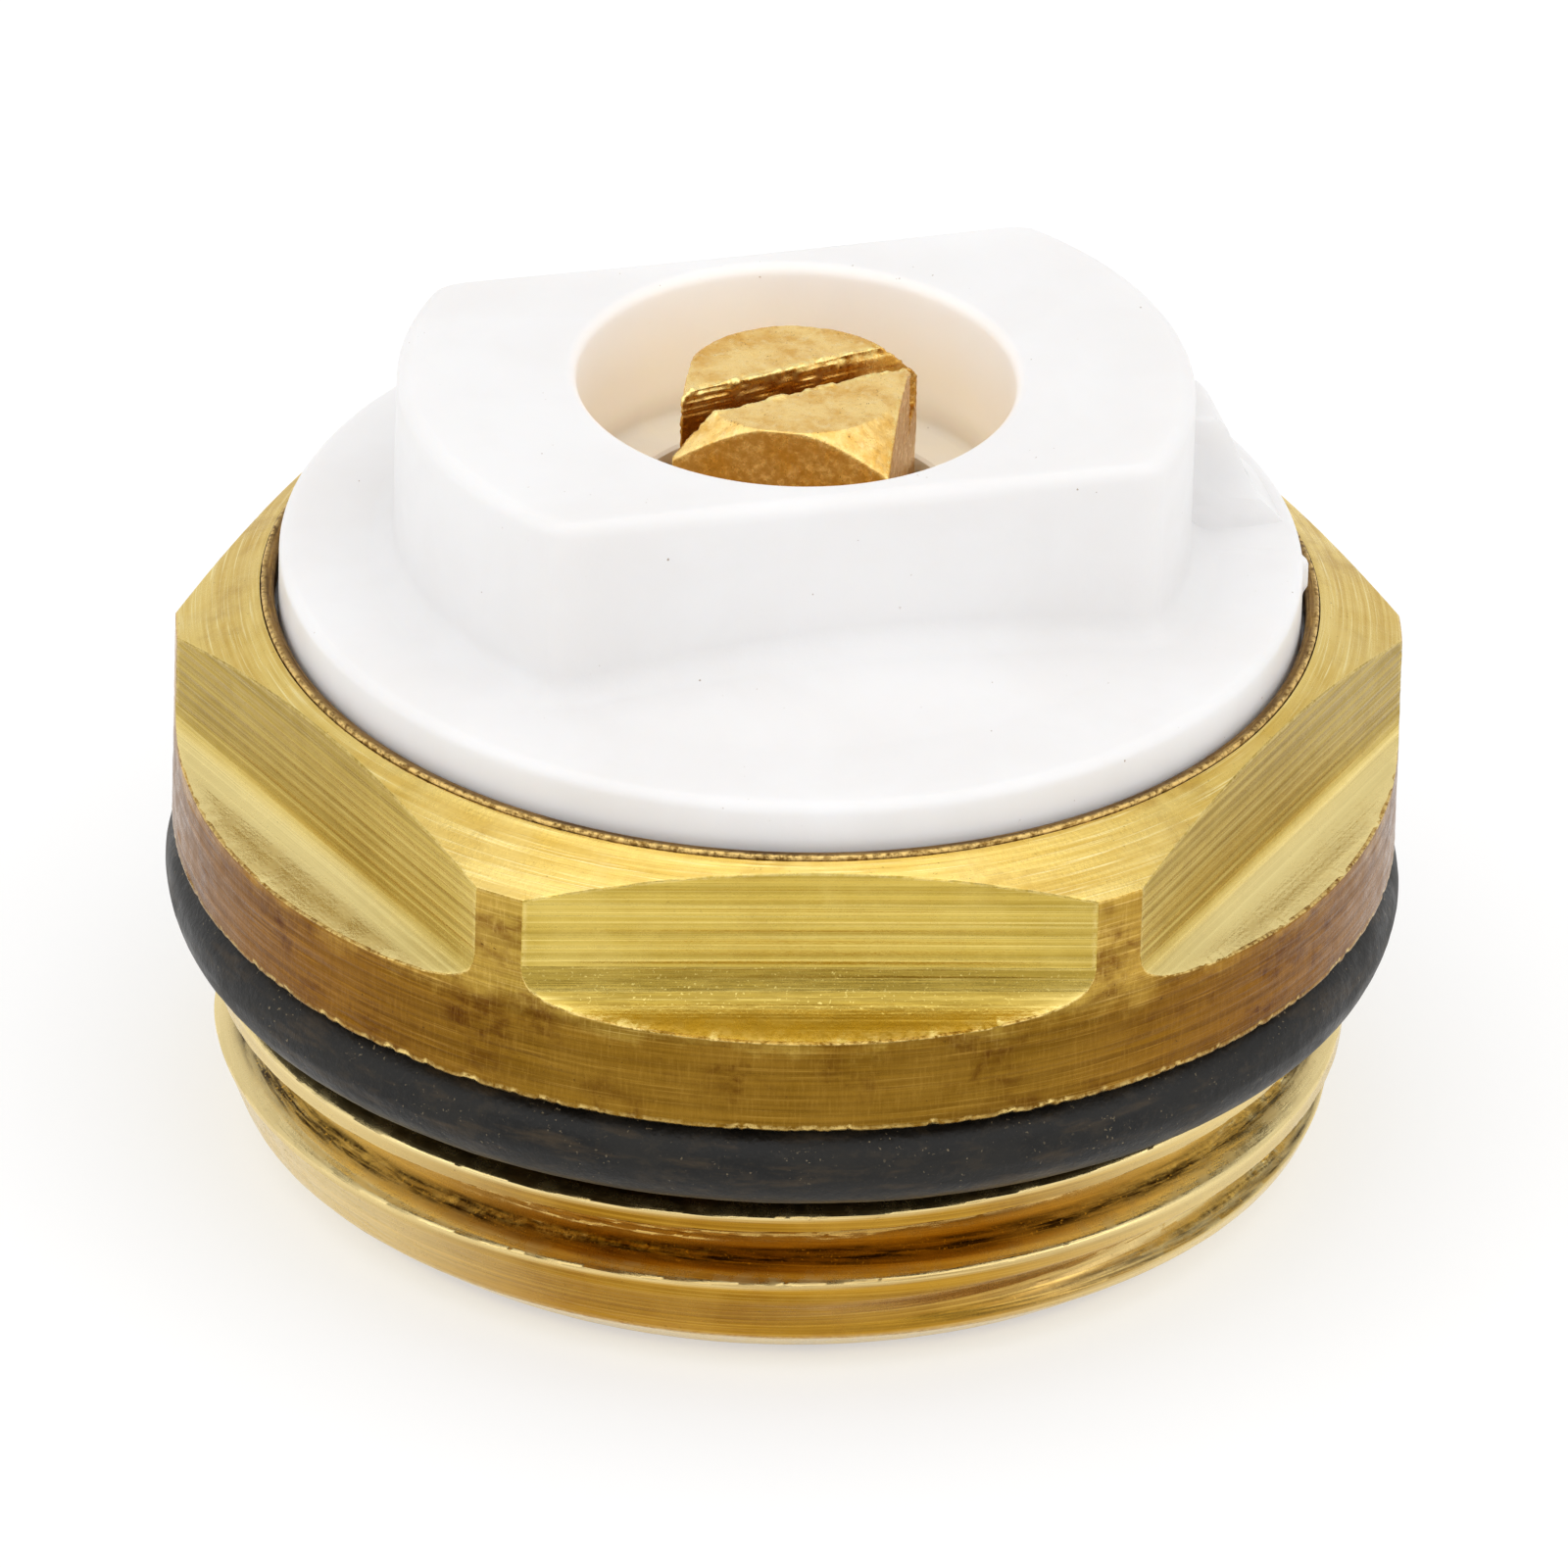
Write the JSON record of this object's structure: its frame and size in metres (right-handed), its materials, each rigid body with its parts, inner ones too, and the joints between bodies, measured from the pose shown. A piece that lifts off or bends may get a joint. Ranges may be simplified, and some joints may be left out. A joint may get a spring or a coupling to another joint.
{
  "type": "manual air vent plug",
  "caption": "Brass radiator plug with a pipe thread and seal ring, a white swivelling discharge cap and a square, slotted vent screw.",
  "frame": {"origin": "middle of the thread's end face, the face that goes into the radiator first", "axes": "+Z along the thread axis, out of the radiator toward the cap; the cap's spout at rest points 15 degrees from +X toward +Y"},
  "size_m": [0.036, 0.036, 0.0243],
  "materials": {
    "plug_brass": "turned and milled, unplated",
    "ring_brass": "dull, pressed",
    "screw_brass": "turned, slightly pitted",
    "cap_plastic": "moulded, satin gloss",
    "seal_rubber": "moulded, matt"
  },
  "bodies": {
    "plug": {"plug_body": "plug_brass", "body_o_ring": "seal_rubber", "cap_retaining_ring": "ring_brass"},
    "swivel": {"swivel_cap": "cap_plastic", "cap_outer_o_ring": "seal_rubber", "cap_inner_o_ring": "seal_rubber"},
    "screw_lift": {"screw_o_ring": "seal_rubber"},
    "screw": {"vent_screw": "screw_brass"}
  },
  "joints": [
    {"name": "cap_swivel", "type": "hinge", "parent": "plug", "child": "swivel", "pos_m": [0, 0, 0.0184], "axis": [0, 0, 1], "continuous": true},
    {"name": "vent_screw_lift", "type": "slide", "parent": "plug", "child": "screw_lift", "axis": [0, 0, 1], "range_m": [0, 0.0015]},
    {"name": "vent_screw_turn", "type": "hinge", "parent": "screw_lift", "child": "screw", "pos_m": [0, 0, 0.0184], "axis": [0, 0, 1], "range_deg": [0, 540]}
  ],
  "couplings": [
    {"joint": "vent_screw_turn", "follows": "vent_screw_lift", "rad_per_m": 6283.2}
  ]
}
